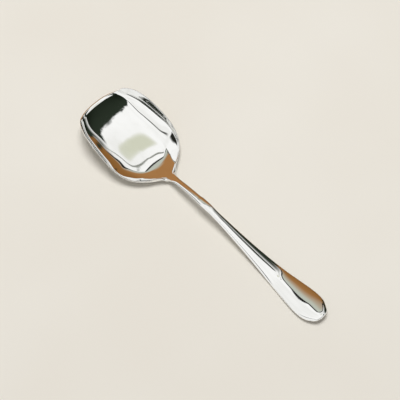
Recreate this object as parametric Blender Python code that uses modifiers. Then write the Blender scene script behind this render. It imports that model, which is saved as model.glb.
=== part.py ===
"""Rice serving spoon of polished steel: a pressed scoop bowl, a narrow neck and a crowned handle.

Stations are distances along the spoon from the middle of its front lip, and X follows them.
Heights are measured from the table that the spoon lies on. All sizes are in metres.
"""

import math

import bmesh
import bpy
import numpy as np

# Lengths and stations along the spoon
BOWL_LENGTH = 0.082
NECK_LENGTH = 0.028
HANDLE_LENGTH = 0.115
BULGE_STATION = 0.045  # the bowl is widest here
RIM_PEAK_STATION = 0.017  # the side rims stand highest here
FLOOR_STATION = 0.0655  # the bowl is lowest here
ARCH_BEYOND_NECK = 0.006  # from the end of the neck to the top of the arch
WIDEST_BEFORE_END = 0.013  # from the widest part of the handle to its end
DOME_LENGTH = 0.030  # the crown falls away to the handle's end over this length
GAUGE_CHANGE = 0.010  # the sheet thickens into the neck bar over this length

# Full widths
BOWL_WIDTH = 0.0548
NECK_WIDTH = 0.0052
HANDLE_WIDTH = 0.0212

# Heights of the upper edges, and of the crowns above them
LIP_HEIGHT = 0.0121
RIM_PEAK_HEIGHT = 0.0195
HEEL_HEIGHT = 0.0066
ARCH_HEIGHT = 0.0107
END_HEIGHT = 0.0018
NECK_CROWN = 0.0003
HANDLE_CROWN = 0.0014

# Metal
BOWL_SHEET = 0.0013
NECK_BAR = 0.0028
HANDLE_SHEET = 0.0020
FOOT_DEPTH = 0.00015  # what is ground off the rounded underside for the bowl to stand on
EDGE_ROUND = 0.0004
JOINT_GAP = 0.0003

# Shape of the curves. A pull is how far a curve keeps the direction of its end, as a share of its span
NOSE_PULL = 0.69
FLANK_PULL = 0.80
CORNER = 0.45  # where along the nose or end curve its front part ends and its side begins
HEEL_PULLS = (0.77, 0.21)
FLARE_PULLS = (0.59, 0.14)
END_PULLS = (0.69, 0.66)
RIM_RISE_PULLS = (0.35, 0.35)
RIM_RISE_SHARE = 0.55
RIM_FALL_PULLS = (0.30, 0.42)
ARCH_PULLS = (0.31, 0.44)
HANDLE_FALL_PULLS = (0.21, 0.51)
SCOOP_PULLS = (0.41, 0.40)
LIP_SLOPE = 0.47
HEEL_WALL_PULLS = (0.64, 0.39)
FLAT_SHARE = 0.48  # how much of the bowl's half width is flat floor
CREASE_SOFTNESS = 0.02  # how gently the floor turns up into the walls
WALL_POWER = 3.2  # how square the walls are in the bowl's middle
END_POWER = 2.6  # the same at its lip and at its heel
CROWN_GROWTH = 0.45  # how early along the handle its crown has grown
DOME_POWER = 2.5
LIP_BOW_FADE = 3.0  # how soon the cross lines straighten behind the lip
END_BOW_FADE = 6.0  # the same at the handle's end

# Mesh
BOWL_ROWS, BOWL_COLUMNS = 36, 13
NECK_ROWS, NECK_COLUMNS = 10, 3
HANDLE_ROWS, HANDLE_COLUMNS = 36, 6
ROUND_SEGMENTS = 2
CURVE_SAMPLES = 800
RIM_ANGLE = math.radians(50)
SMOOTH_ANGLE = math.radians(40)
MERGE_DISTANCE = 1e-6

NECK_END = BOWL_LENGTH + NECK_LENGTH
SPOON_LENGTH = NECK_END + HANDLE_LENGTH
ARCH_STATION = NECK_END + ARCH_BEYOND_NECK
WIDEST_STATION = SPOON_LENGTH - WIDEST_BEFORE_END
FLOOR_HEIGHT = BOWL_SHEET - FOOT_DEPTH
THICKEST = max(BOWL_SHEET, NECK_BAR, HANDLE_SHEET)
BOWL_HALF, NECK_HALF, HANDLE_HALF = BOWL_WIDTH / 2, NECK_WIDTH / 2, HANDLE_WIDTH / 2


def cubic(points, t):
    """Points at t of the Bezier curve with these four control points."""
    a, b, c, d = (np.array(point)[:, None] for point in points)
    return a * (1 - t) ** 3 + 3 * b * t * (1 - t) ** 2 + 3 * c * t**2 * (1 - t) + d * t**3


def level(start, end, pulls):
    """Control points of a curve that leaves start and reaches end parallel to the spoon's length."""
    run = end[0] - start[0]
    return (start, (start[0] + pulls[0] * run, start[1]), (end[0] - pulls[1] * run, end[1]), end)


def chain(first, second, t):
    """Points on two curves that follow each other: t is 0 to 1 on the first and 1 to 2 on the second."""
    return np.where(t < 1, cubic(first, np.minimum(t, 1)), cubic(second, np.maximum(t - 1, 0)))


def read_off(curves, station):
    """Height at each station of a line made of these curves."""
    t = np.linspace(0, 1, CURVE_SAMPLES)
    along, height = np.hstack([cubic(curve, t) for curve in curves])
    return np.interp(station, along, height)


def smooth_step(x):
    """Rise from 0 to 1 as x does, level at both ends."""
    x = np.clip(x, 0, 1)
    return x**3 * (10 - 15 * x + 6 * x**2)


# Plan: half widths from the lip's middle, round the bowl, along the neck and round the handle's end
NOSE = (
    (0, 0),
    (0, NOSE_PULL * BOWL_HALF),
    ((1 - FLANK_PULL) * BULGE_STATION, BOWL_HALF),
    (BULGE_STATION, BOWL_HALF),
)
HEEL = level((BULGE_STATION, BOWL_HALF), (BOWL_LENGTH, NECK_HALF), HEEL_PULLS)
FLARE = level((NECK_END, NECK_HALF), (WIDEST_STATION, HANDLE_HALF), FLARE_PULLS)
ROUND_END = (
    (WIDEST_STATION, HANDLE_HALF),
    (WIDEST_STATION + END_PULLS[0] * WIDEST_BEFORE_END, HANDLE_HALF),
    (SPOON_LENGTH, END_PULLS[1] * HANDLE_HALF),
    (SPOON_LENGTH, 0),
)

# Side view: the line of the upper edges from the lip to the handle's end
RIM_RISE = (
    (0, LIP_HEIGHT),
    (RIM_RISE_PULLS[0] * RIM_PEAK_STATION, LIP_HEIGHT + RIM_RISE_SHARE * (RIM_PEAK_HEIGHT - LIP_HEIGHT)),
    ((1 - RIM_RISE_PULLS[1]) * RIM_PEAK_STATION, RIM_PEAK_HEIGHT),
    (RIM_PEAK_STATION, RIM_PEAK_HEIGHT),
)
RIM_FALL = level((RIM_PEAK_STATION, RIM_PEAK_HEIGHT), (BOWL_LENGTH, HEEL_HEIGHT), RIM_FALL_PULLS)
ARCH = level((BOWL_LENGTH, HEEL_HEIGHT), (ARCH_STATION, ARCH_HEIGHT), ARCH_PULLS)
HANDLE_FALL = level((ARCH_STATION, ARCH_HEIGHT), (SPOON_LENGTH, END_HEIGHT), HANDLE_FALL_PULLS)
EDGE_LINE = (RIM_RISE, RIM_FALL, ARCH, HANDLE_FALL)

# Side view: the middle line of the bowl's inside
SCOOP = (
    (0, LIP_HEIGHT),
    (SCOOP_PULLS[0] * FLOOR_STATION, LIP_HEIGHT - LIP_SLOPE * SCOOP_PULLS[0] * FLOOR_STATION),
    ((1 - SCOOP_PULLS[1]) * FLOOR_STATION, FLOOR_HEIGHT),
    (FLOOR_STATION, FLOOR_HEIGHT),
)
HEEL_WALL = level((FLOOR_STATION, FLOOR_HEIGHT), (BOWL_LENGTH, HEEL_HEIGHT), HEEL_WALL_PULLS)
MIDDLE_LINE = (SCOOP, HEEL_WALL)


def wall_share(across):
    """How far up the bowl's wall a point lies: near 0 on the flat floor, then rising to 1 at the rim."""
    beyond = (across - FLAT_SHARE) / (1 - FLAT_SHARE)
    return (beyond + np.sqrt(beyond**2 + CREASE_SOFTNESS)) / (1 + math.sqrt(1 + CREASE_SOFTNESS))


def bowl_surface(u, v):
    """Inside of the bowl: u runs from the lip to the heel, v from the middle to one side."""
    side, half_width = chain(NOSE, HEEL, CORNER + u * (2 - CORNER))
    corner, corner_half = cubic(NOSE, np.array([CORNER]))
    front, reach = cubic(NOSE, CORNER * v)
    across = reach / corner_half
    # Each cross line is bowed like the front edge near the lip, and straight at the heel
    bow = (1 - u) ** LIP_BOW_FADE
    middle = read_off(MIDDLE_LINE, side - corner * bow)
    rim = read_off(EDGE_LINE, side)
    power = END_POWER + (WALL_POWER - END_POWER) * np.sin(math.pi * u) ** 2
    station = side - (corner - front) * bow - JOINT_GAP / 2 * u
    return station, across * half_width, middle + (rim - middle) * wall_share(across) ** power


def neck_surface(u, v):
    """Top of the neck, a straight bar whose slight crown grows from the heel."""
    station = BOWL_LENGTH + JOINT_GAP / 2 + u * (NECK_LENGTH - JOINT_GAP)
    crown = NECK_CROWN * smooth_step((station - BOWL_LENGTH) / NECK_LENGTH)
    return station, v * NECK_HALF, read_off(EDGE_LINE, station) + crown * (1 - v**2)


def handle_surface(u, v):
    """Top of the handle: u runs from the neck to the end, v from the middle to one side."""
    side, half_width = chain(FLARE, ROUND_END, u * (2 - CORNER))
    corner, corner_half = cubic(ROUND_END, np.array([1 - CORNER]))
    end, reach = cubic(ROUND_END, 1 - CORNER * v)
    across = reach / corner_half
    bow = u**END_BOW_FADE
    middle = side + (SPOON_LENGTH - corner) * bow
    swell = smooth_step((side - NECK_END) / (WIDEST_STATION - NECK_END)) ** CROWN_GROWTH
    fall = np.clip((middle - SPOON_LENGTH) / DOME_LENGTH + 1, 0, 1)
    crown = (NECK_CROWN + (HANDLE_CROWN - NECK_CROWN) * swell) * (1 - fall**DOME_POWER)
    station = side + (end - corner) * bow + JOINT_GAP / 2 * (1 - u)
    return station, across * half_width, read_off(EDGE_LINE, side) + crown * (1 - across**2)


def gauge(station):
    """Thickness of the metal: sheet in the bowl and the handle, bar in the neck."""
    into_neck = smooth_step((station - BOWL_LENGTH) / GAUGE_CHANGE + 1)
    out_of_neck = smooth_step((station - NECK_END) / GAUGE_CHANGE)
    return BOWL_SHEET + (NECK_BAR - BOWL_SHEET) * into_neck + (HANDLE_SHEET - NECK_BAR) * out_of_neck


def polished_steel(name, roughness):
    """Material of bright steel."""
    material = bpy.data.materials.new(name)
    material.use_nodes = True
    shader = material.node_tree.nodes["Principled BSDF"]
    shader.inputs["Base Color"].default_value = (0.77, 0.77, 0.75, 1)
    shader.inputs["Metallic"].default_value = 1.0
    shader.inputs["Roughness"].default_value = roughness
    return material


def half_sheet(name, surface, rows, columns, joints):
    """Object for one half of an upper surface, with its gauge and its joint ends as vertex groups.

    joints holds the values of u, 0 or 1, at which the piece meets its neighbour.
    """
    bm = bmesh.new()
    bmesh.ops.create_grid(bm, x_segments=rows, y_segments=columns, size=1)
    u, v = (np.array([vertex.co.xy for vertex in bm.verts]).T + 1) / 2
    station, side, height = surface(u, v)
    for vertex, place in zip(bm.verts, zip(station, side, height)):
        vertex.co = place
    mesh = bpy.data.meshes.new(name)
    bm.to_mesh(mesh)
    bm.free()
    half = bpy.data.objects.new(name, mesh)
    thickness = half.vertex_groups.new(name="gauge")
    joint_ends = half.vertex_groups.new(name="joint")
    for index, share in enumerate(gauge(station) / THICKEST):
        thickness.add([index], share, "REPLACE")
    at_joint = np.isin(np.rint(u * rows), [rows * joint for joint in joints])
    joint_ends.add(np.flatnonzero(at_joint).tolist(), 1.0, "REPLACE")
    return half


def mark_rim(mesh, joint_group):
    """Give each sharp edge a bevel weight, apart from those of the joint ends."""
    bm = bmesh.new()
    bm.from_mesh(mesh)
    groups = bm.verts.layers.deform.verify()
    weight = bm.edges.layers.float.new("bevel_weight_edge")
    for edge in bm.edges:
        at_joint = all(joint_group in vertex[groups] for vertex in edge.verts)
        if edge.calc_face_angle(0) > RIM_ANGLE and not at_joint:
            edge[weight] = 1.0
    bm.to_mesh(mesh)
    bm.free()


def metal_piece(name, surface, rows, columns, joints, roughness):
    """One piece of the spoon: a half sheet, mirrored, thickened downward and rounded along its rim."""
    piece = half_sheet(name, surface, rows, columns, joints)
    parts.objects.link(piece)
    mirror = piece.modifiers.new("other half", "MIRROR")
    mirror.use_axis = (False, True, False)
    mirror.merge_threshold = MERGE_DISTANCE
    metal = piece.modifiers.new("metal", "SOLIDIFY")
    metal.thickness = THICKEST
    metal.offset = -1
    metal.vertex_group = "gauge"
    graph = bpy.context.evaluated_depsgraph_get()
    piece.data = bpy.data.meshes.new_from_object(piece.evaluated_get(graph))
    piece.modifiers.clear()
    mark_rim(piece.data, piece.vertex_groups["joint"].index)
    rim = piece.modifiers.new("rounded rim", "BEVEL")
    rim.limit_method = "WEIGHT"
    rim.width = EDGE_ROUND
    rim.segments = ROUND_SEGMENTS
    piece.data.shade_smooth()
    piece.data.set_sharp_from_angle(angle=SMOOTH_ANGLE)
    piece.data.materials.append(polished_steel(name + "_steel", roughness))
    return piece


def table_block():
    """Cutter whose top is the table's."""
    bm = bmesh.new()
    bmesh.ops.create_cube(bm, size=1)
    bmesh.ops.translate(bm, vec=(0.5, 0, -0.5), verts=bm.verts)
    bmesh.ops.scale(bm, vec=(SPOON_LENGTH, 2 * BOWL_WIDTH, BOWL_WIDTH), verts=bm.verts)
    mesh = bpy.data.meshes.new("table")
    bm.to_mesh(mesh)
    bm.free()
    block = bpy.data.objects.new("table", mesh)
    block.hide_render = True
    block.display_type = "WIRE"
    cutters.objects.link(block)
    return block


def stand_on(table, piece):
    """Grind the piece flat where it would reach below the table's top."""
    cut = piece.modifiers.new("flat underside", "BOOLEAN")
    cut.operation = "DIFFERENCE"
    cut.object = table


def middle_of(pieces):
    """Station halfway between the two ends of these pieces."""
    graph = bpy.context.evaluated_depsgraph_get()
    stations = [vertex.co.x for piece in pieces for vertex in piece.evaluated_get(graph).data.vertices]
    return (min(stations) + max(stations)) / 2


for old in list(bpy.data.objects):
    bpy.data.objects.remove(old)
parts = bpy.data.collections.new("rice_serving_spoon")
cutters = bpy.data.collections.new("rice_serving_spoon_cutters")
for collection in (parts, cutters):
    bpy.context.scene.collection.children.link(collection)

bowl = metal_piece("bowl", bowl_surface, BOWL_ROWS, BOWL_COLUMNS, (1,), 0.06)
neck = metal_piece("neck", neck_surface, NECK_ROWS, NECK_COLUMNS, (0, 1), 0.10)
handle = metal_piece("handle", handle_surface, HANDLE_ROWS, HANDLE_COLUMNS, (0,), 0.07)
table = table_block()
for piece in (bowl, handle):
    stand_on(table, piece)

# The frame's origin lies on the table, under the middle of the spoon
frame = bpy.data.objects.new("spoon_frame", None)
frame.location.x = -middle_of((bowl, handle))
parts.objects.link(frame)
for item in (bowl, neck, handle, table):
    item.parent = frame
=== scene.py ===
import math

import bpy
import numpy as np
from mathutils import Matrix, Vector


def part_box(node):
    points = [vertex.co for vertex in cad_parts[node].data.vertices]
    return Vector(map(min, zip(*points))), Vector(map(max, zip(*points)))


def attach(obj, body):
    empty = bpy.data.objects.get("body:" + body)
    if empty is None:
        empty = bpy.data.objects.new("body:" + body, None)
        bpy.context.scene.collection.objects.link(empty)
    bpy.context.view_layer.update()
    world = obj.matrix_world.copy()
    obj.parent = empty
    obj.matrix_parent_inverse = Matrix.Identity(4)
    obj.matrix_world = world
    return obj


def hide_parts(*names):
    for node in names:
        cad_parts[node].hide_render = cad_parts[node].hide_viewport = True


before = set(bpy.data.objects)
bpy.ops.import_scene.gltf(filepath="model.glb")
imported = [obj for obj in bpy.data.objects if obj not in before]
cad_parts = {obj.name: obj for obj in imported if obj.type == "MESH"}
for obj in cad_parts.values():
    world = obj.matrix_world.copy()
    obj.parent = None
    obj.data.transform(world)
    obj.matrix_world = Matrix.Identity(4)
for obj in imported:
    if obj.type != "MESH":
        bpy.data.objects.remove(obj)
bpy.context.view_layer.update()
scene = bpy.context.scene
print("frame loaded:", sorted(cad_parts))

# Lengths are in millimetres. A station is a distance along the spoon from the middle of the lip.
# A stretch is a pair: the station where a change begins and the length over which it comes in.
scoopBowl = {
    "node": "bowl", "length": 82.0,
    "half": 27.6, "bulge": 45.0,  # half of the greatest width, and its station
    "front": 1.0, "frontBow": 3,  # station of the outline's front, and the power by which its bow dies out
    "lip": 12.1, "floor": 1.35,  # heights
    "rim": 19.25, "peak": 17.0,  # height of the rim's top, and its station
    "heel": 6.35, "heelAt": 79.0,  # height where the edge line is lowest, and its station
    "ovalAt": 44.0, "ovalLong": 22.0,  # middle and half length of the oval that ends the floor
    "ovalSqueeze": 1.25, "ovalTo": (72, 12),  # the oval's length over its width, and where it closes in
    "climb": (47, 18),  # stretch in which the round heel comes in
    "rimDrop": 1.2, "dropFrom": (48, 12), "dropTo": (68, 9),  # how far the rear rim is let down, and where
    "rootShare": 0.4, "rootLeast": -0.4,  # limits of the edge's height near the neck's root
    "rootRound": 0.3, "rootFrom": (67, 9), "rootTo": (100, 14),
    "foot": 0.65, "frontFoot": 0.15, "footTo": (30, -24),  # share of the half width where the wall begins
    "footRound": 0.12, "lean": 0.55, "leanLoss": 0.45, "leanFrom": (44, 22),  # slope of the wall
    "power": 32, "morePower": 28, "moreFrom": (40, 14),  # sharpness of the turn up to the rim
    "lessPower": 52, "lessFrom": (66, 14),
    "dish": 0.5, "dishTo": (55, 12),  # hollow of the floor
    "ease": 0.15, "easeReach": 2.4, "easeRun": 1.6, "easeSide": 1.8,  # bend of the lip
    "gauge": 1.3, "rimLoss": 0.45, "rimAcross": (0.8, 0.2), "rimTo": (70, 10),  # metal, thinner at the rim
    "every": 1, "caps": (False, True),  # columns kept, and which ends are cut at a joint
    "lines": 0.3, "wipe": 0.5, "depth": 0.00002,  # polishing marks, the last one in metres
}
neckBar = {
    "node": "neck", "length": 28.0,
    "half": 2.4, "root": 78.5,  # half width, and the station where the heel's outline reaches it
    "arch": 11.0, "archAt": 116.0,  # height of the arch's top, and its station
    "shoulder": 0.35, "shoulderFrom": (106.5, 3), "shoulderTo": (112, 14),  # widening at the handle's root
    "moreGauge": 1.5, "moreFrom": (72, 10),
    "every": 3, "caps": (True, True),
    "lines": 0.5, "wipe": 0.4, "depth": 0.00001,
}
crownedHandle = {
    "node": "handle", "length": 115.0,
    "half": 10.0, "widest": 212.0,  # half of the greatest width, and its station
    "low": 2.1, "lowAt": 186.0, "end": 3.8,  # lowest height, its station, and the height of the end
    "endBow": 6,  # power by which the bow of the end rows comes in
    "slope": 0.45, "slopeFrom": (77, 12),  # slope of the crown at its edges
    "moreSlope": 0.04, "moreFrom": (104, 34), "lessSlope": 0.08, "lessFrom": (165, 40),
    "crownPower": 1.9, "endFall": 0.1, "endRun": 4.5, "endPower": 2.5,  # the crown's form and its fall
    "lessGauge": 0.9, "thinFrom": (107, 4),
    "every": 2, "caps": (True, False),
    "lines": 0.4, "wipe": 0.5, "depth": 0.00002,
}
# Rounded edge all round: how far it stands out, and where that is more or less
roundedEdge = {
    "out": 0.65, "facets": 14,
    "lipMore": 0.45, "lipTo": (11, -11),
    "neckLess": 0.15, "neckFrom": (76, 8),
    "handleMore": 0.3, "handleFrom": (112, 40),
}
grid = {
    "gap": 0.45, "columns": 60, "crowding": 0.45,  # between rows, to each side, and their crowding to the rim
    "corner": 0.45,  # share of the front's and the end's curves that the rows bow to
    "soft": 2.5, "fine": 0.25,  # width of the softening, and spacing of the softened heights
    "curveSamples": 2000, "lineSamples": 800,
}

neckStart = scoopBowl["length"]
neckEnd = neckStart + neckBar["length"]
total = neckEnd + crownedHandle["length"]
back = total + 0.1  # the top's end, inside the rounded edge
shift = total - 1000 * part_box("handle")[1].x  # from stations to the frame's X


def bezier(points, t):
    # Cubic curve: the four points weighted by (1-t)^3, 3t(1-t)^2, 3t^2(1-t) and t^3
    a, b, c, d = (np.array(p, float)[:, None] for p in points)
    return a * (1 - t) ** 3 + 3 * b * t * (1 - t) ** 2 + 3 * c * t**2 * (1 - t) + d * t**3


def levelCurve(start, end, pulls):
    # Control points of a curve that leaves its start and reaches its end parallel to the spoon
    run = end[0] - start[0]
    return (start, (start[0] + pulls[0] * run, start[1]), (end[0] - pulls[1] * run, end[1]), end)


def rising(station, start, run):
    # Rise from 0 to 1 over a stretch, with level ends: x^3 (10 - 15x + 6x^2). A negative run looks backwards
    x = np.clip((station - start) / run, 0, 1)
    return x**3 * (10 - 15 * x + 6 * x * x)


def between(station, up, down):
    # Rises over one stretch and falls again over another
    return rising(station, *up) * (1 - rising(station, *down))


def above(x, rounding):
    # The part of x above 0 with a rounded bend: half the sum of x and the root of x^2 + rounding^2
    return 0.5 * (x + np.sqrt(x**2 + rounding**2))


def unit(vectors):
    # Vectors divided by their lengths
    return vectors / np.linalg.norm(vectors, axis=-1, keepdims=True)


def evenly(curve, first, last, gap):
    # Points of a curve spaced evenly along its length
    t = np.linspace(first, last, grid["curveSamples"])
    length = np.concatenate([[0], np.cumsum(np.hypot(*np.diff(bezier(curve, t), axis=1)))])
    count = max(2, math.ceil(length[-1] / gap))
    return bezier(curve, np.interp(np.linspace(0, length[-1], count + 1), length, t))


def soften(values, gap):
    # Running mean with Gaussian weights, which takes the curvature breaks out of joined curves
    reach = math.ceil(4 * grid["soft"] / gap)
    weights = np.exp(-0.5 * (np.arange(-reach, reach + 1) * gap / grid["soft"]) ** 2)
    padded = np.pad(values, reach, mode="reflect", reflect_type="odd")
    return np.convolve(padded, weights / weights.sum(), "valid")


def heights(curves, station):
    # Softened height at each station of a line made of these curves
    t = np.linspace(0, 1, grid["lineSamples"])
    along, up = np.hstack([bezier(c, t) for c in curves])
    fine = np.arange(along[0], along[-1] + grid["fine"] / 2, grid["fine"])
    return np.interp(station, fine, soften(np.interp(fine, along, up), grid["fine"]))


# Side view of the upper edges: lip, rim, heel, arch, and the handle down to the table and up at its end
lip, peak = (0, scoopBowl["lip"]), (scoopBowl["peak"], scoopBowl["rim"])
dip, arch = (scoopBowl["heelAt"], scoopBowl["heel"]), (neckBar["archAt"], neckBar["arch"])
onTable, handleEnd = (crownedHandle["lowAt"], crownedHandle["low"]), (total, crownedHandle["end"])
edgeLine = (
    (lip, (6.0, 16.2), (11.0, scoopBowl["rim"]), peak),
    levelCurve(peak, dip, (0.30, 0.42)),
    levelCurve(dip, arch, (0.16, 0.44)),
    levelCurve(arch, onTable, (0.1, 0.17)),
    (onTable, (197.0, crownedHandle["low"]), (211.0, 2.75), handleEnd),
)

# Side view of the middle: down from the lip to the deepest place, up the heel to the arch, then as the edges
slopeFoot, deepest, heelTop = (47.1, 2.68), (66.5, scoopBowl["floor"]), (84.0, 7.0)
middleLine = (
    (lip, (12.8, 7.0), (28.2, 4.78), slopeFoot),
    (slopeFoot, (54.0, 1.92), (61.5, scoopBowl["floor"] + 0.03), deepest),
    (deepest, (70.0, scoopBowl["floor"]), (75.0, 3.7), heelTop),
    (heelTop, (92.0, 9.4), (103.0, neckBar["arch"]), arch),
) + edgeLine[3:]

# Plan of one side: round the front, along the bowl, the neck and the handle, and round the end
bulge = (scoopBowl["bulge"], scoopBowl["half"])
widest = (crownedHandle["widest"], crownedHandle["half"])
nose = (
    (scoopBowl["front"], 0), (scoopBowl["front"], 0.69 * scoopBowl["half"]),
    (9.0, scoopBowl["half"]), bulge,
)
heel = levelCurve(bulge, (neckBar["root"], neckBar["half"]), (0.85, 0.128))
flare = levelCurve((neckEnd, neckBar["half"]), widest, (0.59, 0.14))
roundEnd = (widest, (220.6, crownedHandle["half"]), (back, 0.66 * crownedHandle["half"]), (back, 0))


def outlineRows():
    # Station and half width of every cross row: points spaced evenly along the plan, with softened joins
    gap, corner = grid["gap"], grid["corner"]
    straight = np.arange(neckBar["root"], neckEnd + gap / 2, gap)
    runs = [
        evenly(nose, corner, 1, gap),
        evenly(heel, 0, 1, gap)[:, 1:],
        np.stack([straight, np.full(len(straight), neckBar["half"])])[:, 1:],
        evenly(flare, 0, 1, gap)[:, 1:],
        evenly(roundEnd, 0, 1 - corner, gap)[:, 1:],
    ]
    side, half = (soften(x, gap) for x in np.hstack(runs))
    shoulder = between(side, neckBar["shoulderFrom"], neckBar["shoulderTo"])
    return side, half + neckBar["shoulder"] * shoulder


def middleHeight(along, sideways):
    # The floor ends in half an oval. Beyond it the heel rises by the distance from the oval's middle
    ovalEnd = scoopBowl["ovalAt"] + scoopBowl["ovalLong"]
    behind = np.maximum(along - scoopBowl["ovalAt"], 0)
    beyond = np.hypot(behind, scoopBowl["ovalSqueeze"] * sideways) - scoopBowl["ovalLong"]
    climb = heights(middleLine, ovalEnd + np.maximum(beyond, 0)) - heights(middleLine, np.array([ovalEnd]))
    return heights(middleLine, np.minimum(along, ovalEnd)) + climb * rising(along, *scoopBowl["climb"])


def edgeRise(side, half, low):
    # Height of the edge above the middle. Towards the neck the rim comes down, to at most a set share of the
    # half width that is left, and it stays above a least height
    drop = scoopBowl["rimDrop"] * between(side, scoopBowl["dropFrom"], scoopBowl["dropTo"])
    rise = heights(edgeLine, side)[:, None] - low - drop[:, None]
    spare = rise - scoopBowl["rootShare"] * (half - neckBar["half"])[:, None]
    rise = rise - above(spare, scoopBowl["rootRound"]) * rising(side, *scoopBowl["rootFrom"])[:, None]
    nearRoot = between(side, scoopBowl["rootFrom"], scoopBowl["rootTo"])[:, None]
    return rise + above(scoopBowl["rootLeast"] - rise, scoopBowl["rootRound"]) * nearRoot


def bowlWall(side, half, across, rise):
    # The wall is level in the middle and bends up at its foot into an even slope. Its height is a rounded
    # minimum, (a^-4 + b^-4)^(-1/4), of what its lean gives and of the edge's rise
    foot = (scoopBowl["foot"] + scoopBowl["frontFoot"] * rising(side, *scoopBowl["footTo"]))[:, None]
    level = above(-foot, scoopBowl["footRound"])
    full = above(1 - foot, scoopBowl["footRound"]) - level
    lean = scoopBowl["lean"] - scoopBowl["leanLoss"] * rising(side, *scoopBowl["leanFrom"])
    leanHeight = (lean * half)[:, None] * full
    tall = (leanHeight**-4 + np.maximum(rise, 0.01) ** -4) ** -0.25  # a rise below 0 counts as next to none
    return tall, tall * (above(across - foot, scoopBowl["footRound"]) - level) / full


def handleCrown(side, half, station):
    # Height of the crown: the slope at its edges times the width over its power, falling away at the end
    slope = (
        crownedHandle["slope"] * rising(side, *crownedHandle["slopeFrom"])
        + crownedHandle["moreSlope"] * rising(side, *crownedHandle["moreFrom"])
        - crownedHandle["lessSlope"] * rising(side, *crownedHandle["lessFrom"])
    )
    onHandle = side > neckEnd
    broad = np.where(onHandle, np.maximum.accumulate(half * onHandle), half)
    nearEnd = np.clip((station - back) / crownedHandle["endRun"] + 1, 0, 1)
    fall = 1 - crownedHandle["endFall"] * nearEnd ** crownedHandle["endPower"]
    return (slope * broad / crownedHandle["crownPower"])[:, None] * fall


def wholeTop():
    # Upper surface of the whole spoon on a grid of cross rows, so that its pieces meet without a break.
    # Each row runs from side to side. Near the lip and the end it is bowed like the outline there.
    side, half = outlineRows()
    corner, crowding = grid["corner"], grid["crowding"]
    even = np.linspace(-1, 1, 2 * grid["columns"] + 1)
    v = (1 - crowding) * even + crowding * np.sin(even * math.pi / 2)  # closer together towards the rim
    cornerAt, cornerHalf = bezier(nose, np.array([corner]))
    frontAt, frontReach = bezier(nose, corner * abs(v))
    endAt, endHalf = bezier(roundEnd, np.array([1 - corner]))
    tipAt, tipReach = bezier(roundEnd, 1 - corner * abs(v))
    bow = (1 - np.clip((side - cornerAt) / (neckStart - cornerAt), 0, 1)) ** scoopBowl["frontBow"]
    tipBow = np.clip((side - neckEnd) / (endAt - neckEnd), 0, 1) ** crownedHandle["endBow"]
    blend = rising(side, neckStart, neckBar["length"])[:, None]
    across = frontReach / cornerHalf * (1 - blend) + tipReach / endHalf * blend
    station = side[:, None] - (cornerAt - frontAt) * bow[:, None] + (tipAt - endAt) * tipBow[:, None]
    middleAt = side - (cornerAt - scoopBowl["front"]) * bow + (back - endAt) * tipBow

    # Middle, hollow of the floor, wall, the turn up to the edge by a high power of the distance, and crown
    closing = half * (1 - rising(side, *scoopBowl["ovalTo"]))
    low = middleHeight(middleAt[:, None], across * closing[:, None])
    rise = edgeRise(side, half, low)
    dish = scoopBowl["dish"] * (1 - rising(side, *scoopBowl["dishTo"]))[:, None] * across**2
    tall, wall = bowlWall(side, half, across, rise)
    sharp = (
        scoopBowl["power"] + scoopBowl["morePower"] * rising(side, *scoopBowl["moreFrom"])
        - scoopBowl["lessPower"] * rising(side, *scoopBowl["lessFrom"])
    )
    up = low + dish + wall + (rise - tall - dish) * across ** sharp[:, None]
    up = up + handleCrown(side, half, station) * (1 - across ** crownedHandle["crownPower"])

    # The lip bends down over its last millimetres, less towards its corners
    inside = abs(station - station[0])
    ease = np.exp(-((inside / scoopBowl["easeRun"]) ** 4)) * np.clip(scoopBowl["easeSide"] - abs(v), 0, 1)
    up = up - scoopBowl["ease"] * np.clip(scoopBowl["easeReach"] - inside, 0, None) * ease
    points = np.stack([station, np.sign(v) * across * half[:, None], up], -1)
    return points, unit(np.cross(np.gradient(points, axis=0), np.gradient(points, axis=1))), side


def gauge(station):
    # Thickness of the metal: sheet in the bowl, bar in the neck, sheet in the handle
    thick = scoopBowl["gauge"] + neckBar["moreGauge"] * rising(station, *neckBar["moreFrom"])
    return thick - crownedHandle["lessGauge"] * rising(station, *crownedHandle["thinFrom"])


def edgeOut(station):
    # How far the rounded edge stands out: most at the lip, least on the neck
    out = roundedEdge["out"] + roundedEdge["lipMore"] * rising(station, *roundedEdge["lipTo"])
    out = out - roundedEdge["neckLess"] * rising(station, *roundedEdge["neckFrom"])
    return out + roundedEdge["handleMore"] * rising(station, *roundedEdge["handleFrom"])


def gridFaces(ids):
    # Four corners of every cell of a grid of vertex numbers
    return np.stack([ids[:-1, :-1], ids[:-1, 1:], ids[1:, 1:], ids[1:, :-1]], -1).reshape(-1, 4)


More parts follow.
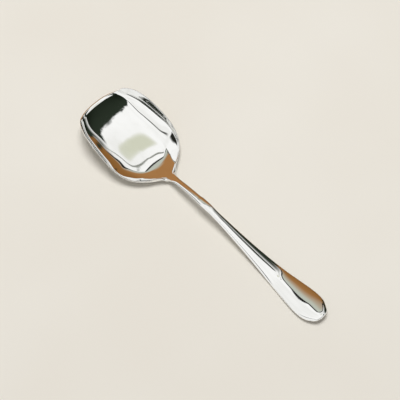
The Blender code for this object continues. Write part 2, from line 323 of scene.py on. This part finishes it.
def steelShell(name, top, normal, startCap, endCap):
    # Closed shell: the top, an underside one gauge below it along the normal, and a rounded edge between
    # them, half an ellipse carried round the outline: centre + gauge/2 cos(a) normal + out sin(a) outward
    rows, cols = top.shape[:2]
    toEdge = rising(abs(np.linspace(-1, 1, cols)), *scoopBowl["rimAcross"])
    rimLoss = scoopBowl["rimLoss"] * toEdge * (1 - rising(top[..., 0], *scoopBowl["rimTo"]))
    thick = (gauge(top[..., 0]) * (1 - rimLoss))[..., None]
    under = top - thick * normal
    under[..., 2] = np.maximum(under[..., 2], 0)  # flat where it rests on the table
    underNormal = -unit(np.cross(np.gradient(under, axis=0), np.gradient(under, axis=1)))
    size = rows * cols
    index = np.arange(size).reshape(rows, cols)
    left, right = index[::-1, 0], index[:, -1]
    if startCap and endCap:
        strands = [left, right]
    elif endCap:
        strands = [np.concatenate([left, index[0, 1:-1], right])]
    else:
        strands = [np.concatenate([right, index[-1, -2:0:-1], left])]
    flatTop, flatNormal, flatThick = top.reshape(-1, 3), normal.reshape(-1, 3), thick.reshape(-1, 1)
    vertices = [flatTop, under.reshape(-1, 3)]
    normals = [flatNormal, underNormal.reshape(-1, 3)]
    faces, ends = [], []
    angles = np.linspace(0, math.pi, roundedEdge["facets"] + 1)[1:-1]
    c, s = np.cos(angles)[:, None, None], np.sin(angles)[:, None, None]
    used = 2 * size
    for path in strands:
        edge, up = flatTop[path], flatNormal[path]
        out = unit(np.cross(up, np.gradient(edge, axis=0)))
        half, wide = flatThick[path] / 2, edgeOut(edge[:, :1])
        ring = edge - half * up + half * c * up + wide * s * out
        ring[..., 2] = np.maximum(ring[..., 2], 0)
        vertices.append(ring.reshape(-1, 3))
        normals.append(unit(c / half * up + s / wide * out).reshape(-1, 3))
        count = len(angles) * len(path)
        ids = np.vstack([path, used + np.arange(count).reshape(len(angles), -1), path + size])
        used += count
        faces.append(gridFaces(ids))
        ends += [ids[:, 0], ids[:, -1]]
    faces.append(gridFaces(index)[:, [0, 3, 2, 1]])
    faces.append(gridFaces(index) + size)
    for row, there, turn in ((index[0], startCap, 1), (index[-1], endCap, -1)):
        if there:
            quad = np.stack([row[:-1], row[1:], row[1:] + size, row[:-1] + size], -1)
            faces.append(quad[:, ::turn])
    halfEllipses = []  # these close the edge where it is cut at a joint
    for chain in ends:
        atStart = np.isin(chain[0], index[0])
        onLeft = np.isin(chain[0], index[:, 0])
        if (startCap and atStart) or (endCap and not atStart):
            halfEllipses.append(chain[::-1].tolist() if atStart == onLeft else chain.tolist())
    places = np.vstack(vertices)
    places[:, 0] -= shift
    mesh = bpy.data.meshes.new(name)
    mesh.from_pydata((places * 0.001).tolist(), [], np.vstack(faces).tolist() + halfEllipses)
    mesh.shade_smooth()
    mesh.normals_split_custom_set_from_vertices(np.vstack(normals).tolist())
    piece = bpy.data.objects.new(name, mesh)
    scene.collection.objects.link(piece)
    return piece


def calc(tree, operation, *values):
    # One math node, fed with sockets or numbers
    node = tree.nodes.new("ShaderNodeMath")
    node.operation = operation
    for socket, value in zip(node.inputs, values):
        if isinstance(value, bpy.types.NodeSocket):
            tree.links.new(value, socket)
        else:
            socket.default_value = value
    return node.outputs[0]


def ramp(tree, value, low, high):
    # Smooth rise from 0 at low to 1 at high, or a fall where low is the greater
    node = tree.nodes.new("ShaderNodeMapRange")
    node.interpolation_type = "SMOOTHSTEP"
    tree.links.new(value, node.inputs["Value"])
    falls = low > high
    limits = {"From Min": min(low, high), "From Max": max(low, high), "To Min": falls, "To Max": not falls}
    for name, limit in limits.items():
        node.inputs[name].default_value = limit
    return node.outputs["Result"]


def mixed(tree, share, first, second):
    # Colour between two, each a socket or red, green and blue as written
    node = tree.nodes.new("ShaderNodeMix")
    node.data_type = "RGBA"
    tree.links.new(share, node.inputs["Factor"])
    for name, value in (("A", first), ("B", second)):
        socket = next(s for s in node.inputs if s.name == name and s.type == "RGBA")
        if isinstance(value, bpy.types.NodeSocket):
            tree.links.new(value, socket)
        else:
            socket.default_value = (*value, 1)
    return next(s for s in node.outputs if s.type == "RGBA")


def linear(red, green, blue):
    # Colour as read from a screen, 0 to 255, made linear
    values = np.array([red, green, blue]) / 255
    return tuple(np.where(values <= 0.04045, values / 12.92, ((values + 0.055) / 1.055) ** 2.4))


def noise(tree, vector, scale, detail, roughness=0.5):
    # Noise between 0 and 1, with this many waves to the unit
    node = tree.nodes.new("ShaderNodeTexNoise")
    node.inputs["Scale"].default_value = scale
    node.inputs["Detail"].default_value = detail
    node.inputs["Roughness"].default_value = roughness
    tree.links.new(vector, node.inputs["Vector"])
    return node.outputs["Fac"]


def stretched(tree, vector, scale):
    # Place times a scale of its own along each axis
    node = tree.nodes.new("ShaderNodeMapping")
    node.inputs["Scale"].default_value = scale
    tree.links.new(vector, node.inputs["Vector"])
    return node.outputs["Vector"]


# Waves to the metre along and across the spoon, detail and roughness of each kind of mark
polishMarks = {
    "hairs": ((40, 2600, 2600), 4, 0.6), "hairsSeen": (0.5, 0.8),
    "wipes": ((60, 110, 110), 3, 0.55), "wipesSeen": (0.45, 0.75),
    "wave": ((70, 90, 90), 1, 0.4),
    "rough": 0.02, "wipeRough": 0.06, "hairRough": 0.05, "hairHeight": 0.02,
    "clean": (0.90, 0.90, 0.89), "wiped": (0.84, 0.84, 0.82),
}


def polishGroup():
    # Marks of polishing and use, each a noise: fine lines along the spoon, faint wipes, and a soft waviness
    group = bpy.data.node_groups.new("polishMarks", "ShaderNodeTree")
    inputs = {"Place": "NodeSocketVector", "Line Scale": "NodeSocketFloat", "Wipe": "NodeSocketFloat"}
    outputs = {"Tint": "NodeSocketColor", "Roughness": "NodeSocketFloat", "Height": "NodeSocketFloat"}
    for way, sockets in (("INPUT", inputs), ("OUTPUT", outputs)):
        for name, kind in sockets.items():
            group.interface.new_socket(name, in_out=way, socket_type=kind)
    source, sink = group.nodes.new("NodeGroupInput"), group.nodes.new("NodeGroupOutput")

    def marks(kind):
        scale, detail, roughness = polishMarks[kind]
        return noise(group, stretched(group, source.outputs["Place"], scale), 1.0, detail, roughness)

    hairs = ramp(group, marks("hairs"), *polishMarks["hairsSeen"])
    hairs = calc(group, "MULTIPLY", hairs, source.outputs["Line Scale"])
    smear = ramp(group, marks("wipes"), *polishMarks["wipesSeen"])
    smear = calc(group, "MULTIPLY", smear, source.outputs["Wipe"])
    rough = calc(group, "MULTIPLY_ADD", smear, polishMarks["wipeRough"], polishMarks["rough"])
    rough = calc(group, "MULTIPLY_ADD", hairs, polishMarks["hairRough"], rough)
    tint = mixed(group, smear, polishMarks["clean"], polishMarks["wiped"])
    height = calc(group, "MULTIPLY_ADD", hairs, polishMarks["hairHeight"], marks("wave"))
    for name, value in (("Tint", tint), ("Roughness", rough), ("Height", height)):
        group.links.new(value, sink.inputs[name])
    return group


polish = polishGroup()


def mirrorSteel(name, lines, wipe, depth):
    # Bare metal with the polishing marks in its tint and roughness, and as a bump of this depth
    material = bpy.data.materials.new(name)
    material.use_nodes = True
    tree = material.node_tree
    shader = tree.nodes["Principled BSDF"]
    shader.inputs["Metallic"].default_value = 1.0
    marks = tree.nodes.new("ShaderNodeGroup")
    marks.node_tree = polish
    marks.inputs["Line Scale"].default_value = lines
    marks.inputs["Wipe"].default_value = wipe
    bump = tree.nodes.new("ShaderNodeBump")
    bump.inputs["Distance"].default_value = depth
    bump.inputs["Strength"].default_value = 1.0
    tree.links.new(tree.nodes.new("ShaderNodeTexCoord").outputs["Object"], marks.inputs["Place"])
    tree.links.new(marks.outputs["Tint"], shader.inputs["Base Color"])
    tree.links.new(marks.outputs["Roughness"], shader.inputs["Roughness"])
    tree.links.new(marks.outputs["Height"], bump.inputs["Height"])
    tree.links.new(bump.outputs["Normal"], shader.inputs["Normal"])
    return material


top, normal, side = wholeTop()
heelRow, neckRow = (int(np.argmin(abs(side - station))) for station in (neckStart, neckEnd))
print("spoon surface:", top.shape, "heel row", heelRow, "neck row", neckRow)

pieces = {
    "scoopBowl": (scoopBowl, slice(0, heelRow + 1)),
    "neckBar": (neckBar, slice(heelRow, neckRow + 1)),
    "crownedHandle": (crownedHandle, slice(neckRow, None)),
}
for name, (made, rows) in pieces.items():
    every = made["every"]
    piece = steelShell(name, top[rows, ::every], normal[rows, ::every], *made["caps"])
    piece.data.materials.append(mirrorSteel(name + "Steel", made["lines"], made["wipe"], made["depth"]))
    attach(piece, "root")
    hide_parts(made["node"])
    print("made", name, len(piece.data.polygons), "faces")

# Camera, found from the photo's outline. Lengths in metres, lens and sensor in millimetres
view = {
    "azimuth": math.radians(45.8937), "elevation": math.radians(63), "distance": 0.8,
    "target": (-0.00718, 0.00362, 0.0), "lens": 102.96, "sensor": 36, "nearest": 0.01, "farthest": 50,
}
right = Vector((math.cos(view["azimuth"]), math.sin(view["azimuth"]), 0))
away = Vector((-math.sin(view["azimuth"]), math.cos(view["azimuth"]), 0))
upward = Vector((0, 0, 1))
lookBack = away * -math.cos(view["elevation"]) + upward * math.sin(view["elevation"])
cameraData = bpy.data.cameras.new("camera")
cameraData.lens, cameraData.sensor_width = view["lens"], view["sensor"]
cameraData.clip_start, cameraData.clip_end = view["nearest"], view["farthest"]
camera = bpy.data.objects.new("camera", cameraData)
camera.location = Vector(view["target"]) + lookBack * view["distance"]
camera.rotation_mode = "QUATERNION"
camera.rotation_quaternion = (-lookBack).to_track_quat("-Z", "Y")
scene.collection.objects.link(camera)
scene.camera = camera
print("camera placed")

paleFloor = {
    "reach": 2.5, "below": 0.00005,  # metres
    "tone": (236, 232, 223), "drift": (233, 228, 218), "driftScale": 6.0, "driftSeen": (0.3, 0.7),
    "rough": 0.75, "shine": 0.2,
}


def floorMaterial():
    # Plain pale table top with a very faint drift of tone, by noise on its place
    material = bpy.data.materials.new("paleFloor")
    material.use_nodes = True
    tree = material.node_tree
    shader = tree.nodes["Principled BSDF"]
    place = tree.nodes.new("ShaderNodeTexCoord").outputs["Object"]
    drift = ramp(tree, noise(tree, place, paleFloor["driftScale"], 2), *paleFloor["driftSeen"])
    colour = mixed(tree, drift, linear(*paleFloor["tone"]), linear(*paleFloor["drift"]))
    tree.links.new(colour, shader.inputs["Base Color"])
    shader.inputs["Roughness"].default_value = paleFloor["rough"]
    shader.inputs["Specular IOR Level"].default_value = paleFloor["shine"]
    return material


reach = paleFloor["reach"]
floorCorners = [(-reach, -reach, 0), (reach, -reach, 0), (reach, reach, 0), (-reach, reach, 0)]
floorMesh = bpy.data.meshes.new("floor")
floorMesh.from_pydata(floorCorners, [], [(0, 1, 2, 3)])
floor = bpy.data.objects.new("floor", floorMesh)
floor.location.z = -paleFloor["below"]
floorMesh.materials.append(floorMaterial())
scene.collection.objects.link(floor)

# Soft lamp nearly overhead, so that the shadow shows just below the raised neck. Metal does not mirror it
softKey = {"size": 0.85, "watts": 19.8, "right": -0.05, "away": 0.3, "up": 1.7}
lampData = bpy.data.lights.new("softKey", "AREA")
lampData.shape, lampData.size, lampData.energy = "DISK", softKey["size"], softKey["watts"]
lamp = bpy.data.objects.new("softKey", lampData)
lamp.location = right * softKey["right"] + away * softKey["away"] + upward * softKey["up"]
lamp.rotation_mode = "QUATERNION"
lamp.rotation_quaternion = lamp.location.to_track_quat("Z", "Y")
lamp.visible_glossy = False
scene.collection.objects.link(lamp)
print("floor and lamp placed")

# What the metal mirrors. A direction is laid out flat, with straight up in the middle and the horizon at
# distance 1. Over runs along +Y and on along +X, from the direction that a level mirror shows the camera.
# A bent line is pairs of over and on. A pair of limits is where something begins and where it is full.
# Colours from 0 to 255 are as read from a screen.
layout = {"overShift": -0.209, "onShift": 0.215, "span": 1.5, "rippleScale": 5.0, "frayScale": 45.0}


def product(tree, first, *others):
    # All of these multiplied
    for other in others:
        first = calc(tree, "MULTIPLY", first, other)
    return first


def flatDirection(tree, direction):
    # Over, on and height of a direction. Its distance is the angle from straight up over a right angle
    split = tree.nodes.new("ShaderNodeSeparateXYZ")
    tree.links.new(direction, split.inputs["Vector"])
    x, y, z = split.outputs
    flat = calc(tree, "SQRT", calc(tree, "ADD", calc(tree, "MULTIPLY", x, x), calc(tree, "MULTIPLY", y, y)))
    angle = calc(tree, "MULTIPLY", calc(tree, "ARCCOSINE", z), 2 / math.pi)
    spread = calc(tree, "DIVIDE", angle, calc(tree, "MAXIMUM", flat, 1e-4))
    over = calc(tree, "MULTIPLY_ADD", y, spread, layout["overShift"])
    on = calc(tree, "MULTIPLY_ADD", x, spread, layout["onShift"])
    return over, on, z


def bentLine(tree, over, points):
    # On of a smooth line through these points, at the present over
    node = tree.nodes.new("ShaderNodeFloatCurve")
    span = layout["span"]
    curve = node.mapping.curves[0]
    while len(curve.points) < len(points):
        curve.points.new(0.5, 0.5)
    for knot, (at, value) in zip(curve.points, points):
        knot.location = ((at + span) / (2 * span), (value + span) / (2 * span))
        knot.handle_type = "AUTO_CLAMPED"
    node.mapping.update()
    tree.links.new(calc(tree, "MULTIPLY_ADD", over, 1 / (2 * span), 0.5), node.inputs["Value"])
    return calc(tree, "MULTIPLY_ADD", node.outputs["Value"], 2 * span, -span)


def stripe(tree, distance, half, core):
    # 1 in the core of a stripe, falling to 0 at its half width: the distance over the half width, ramped
    share = calc(tree, "DIVIDE", calc(tree, "ABSOLUTE", distance), half)
    return ramp(tree, share, 1.0, core)


whiteRoom = {
    "bright": (1.04, 1.04, 1.03), "dull": (0.93, 0.93, 0.91), "dullScale": 2.2, "dullSeen": (0.5, 0.7),
    "patchAt": (-0.01, 0.094), "patchHalf": (0.06, 0.017), "patchRipple": 3.0, "patchSeen": (1.4, 0.5),
    "patch": (216, 218, 198),
    "lightTone": (1.0, 0.98, 0.95), "light": 0.36,
}


def roomColour(tree, direction, over, on, ripple):
    # White walls that are duller in places by noise, with a dim oval patch overhead
    dull = ramp(tree, noise(tree, direction, whiteRoom["dullScale"], 3), *whiteRoom["dullSeen"])
    white = mixed(tree, dull, whiteRoom["bright"], whiteRoom["dull"])
    squares = []
    for value, middle, half in zip((over, on), whiteRoom["patchAt"], whiteRoom["patchHalf"]):
        offset = calc(tree, "DIVIDE", calc(tree, "ADD", value, -middle), half)
        squares.append(calc(tree, "POWER", offset, 2.0))
    oval = calc(tree, "MULTIPLY_ADD", ripple, whiteRoom["patchRipple"], calc(tree, "ADD", *squares))
    return mixed(tree, ramp(tree, oval, *whiteRoom["patchSeen"]), white, linear(*whiteRoom["patch"]))


warmCard = {
    "line": (
        (-1.5, -1.45), (-0.42, -1.2), (-0.26, -0.6), (-0.225, -0.25), (-0.19, -0.035), (-0.12, -0.01),
        (-0.035, 0.002), (0.05, 0.027), (0.12, 0.045), (0.2, 0.055), (0.42, 0.06), (0.46, 0.1),
        (0.5, 0.2), (0.56, 0.32), (0.7, 0.45), (1.0, 0.55), (1.5, 0.6),
    ),
    "ripple": 0.015, "panelSeen": (0.0, 0.01), "panel": (194, 199, 187),
    "warmSeen": (0.05, 0.2), "warmSpread": 0.35, "warmEnd": (-0.85, -0.72),
    "tone": (172, 124, 76), "far": (134, 92, 46), "farSeen": (0.1, 0.7),
    "near": (168, 165, 142), "nearSeen": (-0.35, -0.7),
}
rail = {
    "beside": 0.004, "half": 0.011, "core": 0.6, "tone": (40, 40, 36),
    "nearMore": 0.05, "nearSeen": (-0.18, -0.25),
    "sideMore": 0.12, "sideSeen": (-0.06, -0.12), "sideEnd": (-0.36, -0.28),
}


def withCard(tree, colour, over, on, ripple):
    # On the lip's side of a bent line a grey panel, then a warm card. A dark rail of varying width follows
    # the line. Each is the signed distance from the line, ramped
    card = calc(tree, "SUBTRACT", bentLine(tree, over, warmCard["line"]), on)
    card = calc(tree, "MULTIPLY_ADD", ripple, warmCard["ripple"], card)
    spread = calc(tree, "MULTIPLY_ADD", calc(tree, "MAXIMUM", over, 0.0), warmCard["warmSpread"], card)
    warm = product(tree, ramp(tree, spread, *warmCard["warmSeen"]), ramp(tree, on, *warmCard["warmEnd"]))
    far, near = ramp(tree, over, *warmCard["farSeen"]), ramp(tree, over, *warmCard["nearSeen"])
    tone = mixed(tree, far, linear(*warmCard["tone"]), linear(*warmCard["far"]))
    tone = mixed(tree, near, tone, linear(*warmCard["near"]))
    colour = mixed(tree, ramp(tree, card, *warmCard["panelSeen"]), colour, linear(*warmCard["panel"]))
    colour = mixed(tree, warm, colour, tone)
    half = calc(tree, "MULTIPLY_ADD", ramp(tree, over, *rail["nearSeen"]), rail["nearMore"], rail["half"])
    aside = product(tree, ramp(tree, on, *rail["sideSeen"]), ramp(tree, on, *rail["sideEnd"]))
    half = calc(tree, "MULTIPLY_ADD", aside, rail["sideMore"], half)
    along = stripe(tree, calc(tree, "ADD", card, rail["beside"]), half, rail["core"])
    return mixed(tree, along, colour, linear(*rail["tone"]))


cord = {
    "line": (
        (-1.5, 0.06), (-0.1, 0.06), (-0.03, 0.054), (-0.012, 0.05), (0.005, 0.056), (0.05, 0.073),
        (0.096, 0.087), (0.175, 0.095), (0.3, 0.1), (1.5, 0.1),
    ),
    "half": 0.0035, "core": 0.5, "tone": (140, 142, 134), "farEnd": (0.4, 0.2), "nearEnd": (-0.08, -0.03),
}
pole = {"over": -0.51, "half": 0.022, "core": 0.4, "tone": (60, 62, 56), "seen": (0.0, 0.12)}
bar = {
    "over": -0.62, "half": 0.12, "core": 0.7, "tone": (36, 38, 32),
    "seen": (-0.03, -0.07), "end": (-0.5, -0.3),
}


def withLines(tree, colour, over, on):
    # A thin cord along a bent line, and a pole and a broader bar at a set over. Each ends by ramps
    offLine = calc(tree, "SUBTRACT", on, bentLine(tree, over, cord["line"]))
    ends = product(tree, ramp(tree, over, *cord["farEnd"]), ramp(tree, over, *cord["nearEnd"]))
    seen = product(tree, stripe(tree, offLine, cord["half"], cord["core"]), ends)
    colour = mixed(tree, seen, colour, linear(*cord["tone"]))
    for made, limits in ((pole, ("seen",)), (bar, ("seen", "end"))):
        seen = stripe(tree, calc(tree, "ADD", over, -made["over"]), made["half"], made["core"])
        seen = product(tree, seen, *(ramp(tree, on, *made[limit]) for limit in limits))
        colour = mixed(tree, seen, colour, linear(*made["tone"]))
    return colour


darkFlags = {
    "first": (
        (-1.5, 1.2), (-0.75, 1.0), (-0.6, 0.5), (-0.5, 0.27), (-0.3, 0.225), (-0.1, 0.208), (0.012, 0.19),
        (0.05, 0.175), (0.09, 0.15), (0.14, 0.12), (0.17, 0.12), (0.2, 0.4), (0.28, 0.9), (1.5, 1.2),
    ),
    "fray": 0.035, "ripple": 0.07, "firstSeen": (-0.01, 0.015),
    "second": (
        (-1.5, 1.4), (0.3, 1.2), (0.4, 0.4), (0.43, 0.13), (0.455, 0.085), (0.48, 0.085), (0.52, 0.078),
        (0.55, 0.064), (0.58, 0.066), (0.6, 0.075), (0.64, 0.12), (0.7, 0.5), (1.5, 1.4),
    ),
    "secondSeen": (-0.02, 0.012),
    "shadeOver": (0.12, 0.38), "shadeOn": (0.06, 0.13), "shadeEnd": (0.58, 0.52),
    "end": (0.62, 0.52), "horizon": 0.85, "horizonSeen": (0.2, 0.06),
    "edge": (44, 52, 42), "tone": (24, 30, 22), "toneSeen": (0.0, 0.25),
}


def withFlags(tree, colour, direction, over, on, height, ripple):
    # Dark flags on the handle's side of two bent lines. The bright gap between them is shaded further over.
    # The flags end far out, and it is dark again near the horizon. The darkest of these masks counts
    first = calc(tree, "SUBTRACT", on, bentLine(tree, over, darkFlags["first"]))
    fray = calc(tree, "SUBTRACT", noise(tree, direction, layout["frayScale"], 2), 0.5)
    first = calc(tree, "MULTIPLY_ADD", fray, darkFlags["fray"], first)
    first = calc(tree, "MULTIPLY_ADD", ripple, darkFlags["ripple"], first)
    second = calc(tree, "SUBTRACT", on, bentLine(tree, over, darkFlags["second"]))
    firstSeen = ramp(tree, first, *darkFlags["firstSeen"])
    secondSeen = ramp(tree, second, *darkFlags["secondSeen"])
    shadeOver, shadeEnd = (ramp(tree, over, *darkFlags[name]) for name in ("shadeOver", "shadeEnd"))
    shade = product(tree, shadeOver, shadeEnd, ramp(tree, on, *darkFlags["shadeOn"]))
    dark = calc(tree, "MAXIMUM", calc(tree, "MAXIMUM", firstSeen, secondSeen), shade)
    dark = product(tree, dark, ramp(tree, on, *darkFlags["end"]))
    horizon = product(tree, ramp(tree, height, *darkFlags["horizonSeen"]), darkFlags["horizon"])
    dark = calc(tree, "MAXIMUM", dark, horizon)
    inside = ramp(tree, calc(tree, "MAXIMUM", first, second), *darkFlags["toneSeen"])
    tone = mixed(tree, inside, linear(*darkFlags["edge"]), linear(*darkFlags["tone"]))
    return mixed(tree, dark, colour, tone)


def studioWorld():
    # Metal mirrors the made-up room, and everything else gets an even pale light
    world = bpy.data.worlds.new("studio")
    world.use_nodes = True
    tree = world.node_tree
    tree.nodes.clear()
    direction = tree.nodes.new("ShaderNodeTexCoord").outputs["Generated"]
    over, on, height = flatDirection(tree, direction)
    ripple = calc(tree, "SUBTRACT", noise(tree, direction, layout["rippleScale"], 3), 0.5)
    colour = roomColour(tree, direction, over, on, ripple)
    colour = withCard(tree, colour, over, on, ripple)
    colour = withLines(tree, colour, over, on)
    colour = withFlags(tree, colour, direction, over, on, height, ripple)
    mirrored = tree.nodes.new("ShaderNodeBackground")
    tree.links.new(colour, mirrored.inputs["Color"])
    plain = tree.nodes.new("ShaderNodeBackground")
    plain.inputs["Color"].default_value = (*whiteRoom["lightTone"], 1)
    plain.inputs["Strength"].default_value = whiteRoom["light"]
    rays = tree.nodes.new("ShaderNodeLightPath")
    glossy = calc(tree, "MAXIMUM", rays.outputs["Is Glossy Ray"], rays.outputs["Is Transmission Ray"])
    pick = tree.nodes.new("ShaderNodeMixShader")
    out = tree.nodes.new("ShaderNodeOutputWorld")
    tree.links.new(glossy, pick.inputs["Fac"])
    tree.links.new(plain.outputs[0], pick.inputs[1])
    tree.links.new(mirrored.outputs[0], pick.inputs[2])
    tree.links.new(pick.outputs[0], out.inputs["Surface"])
    scene.world = world


studioWorld()
scene.view_settings.view_transform = "Standard"
print("studio lit")
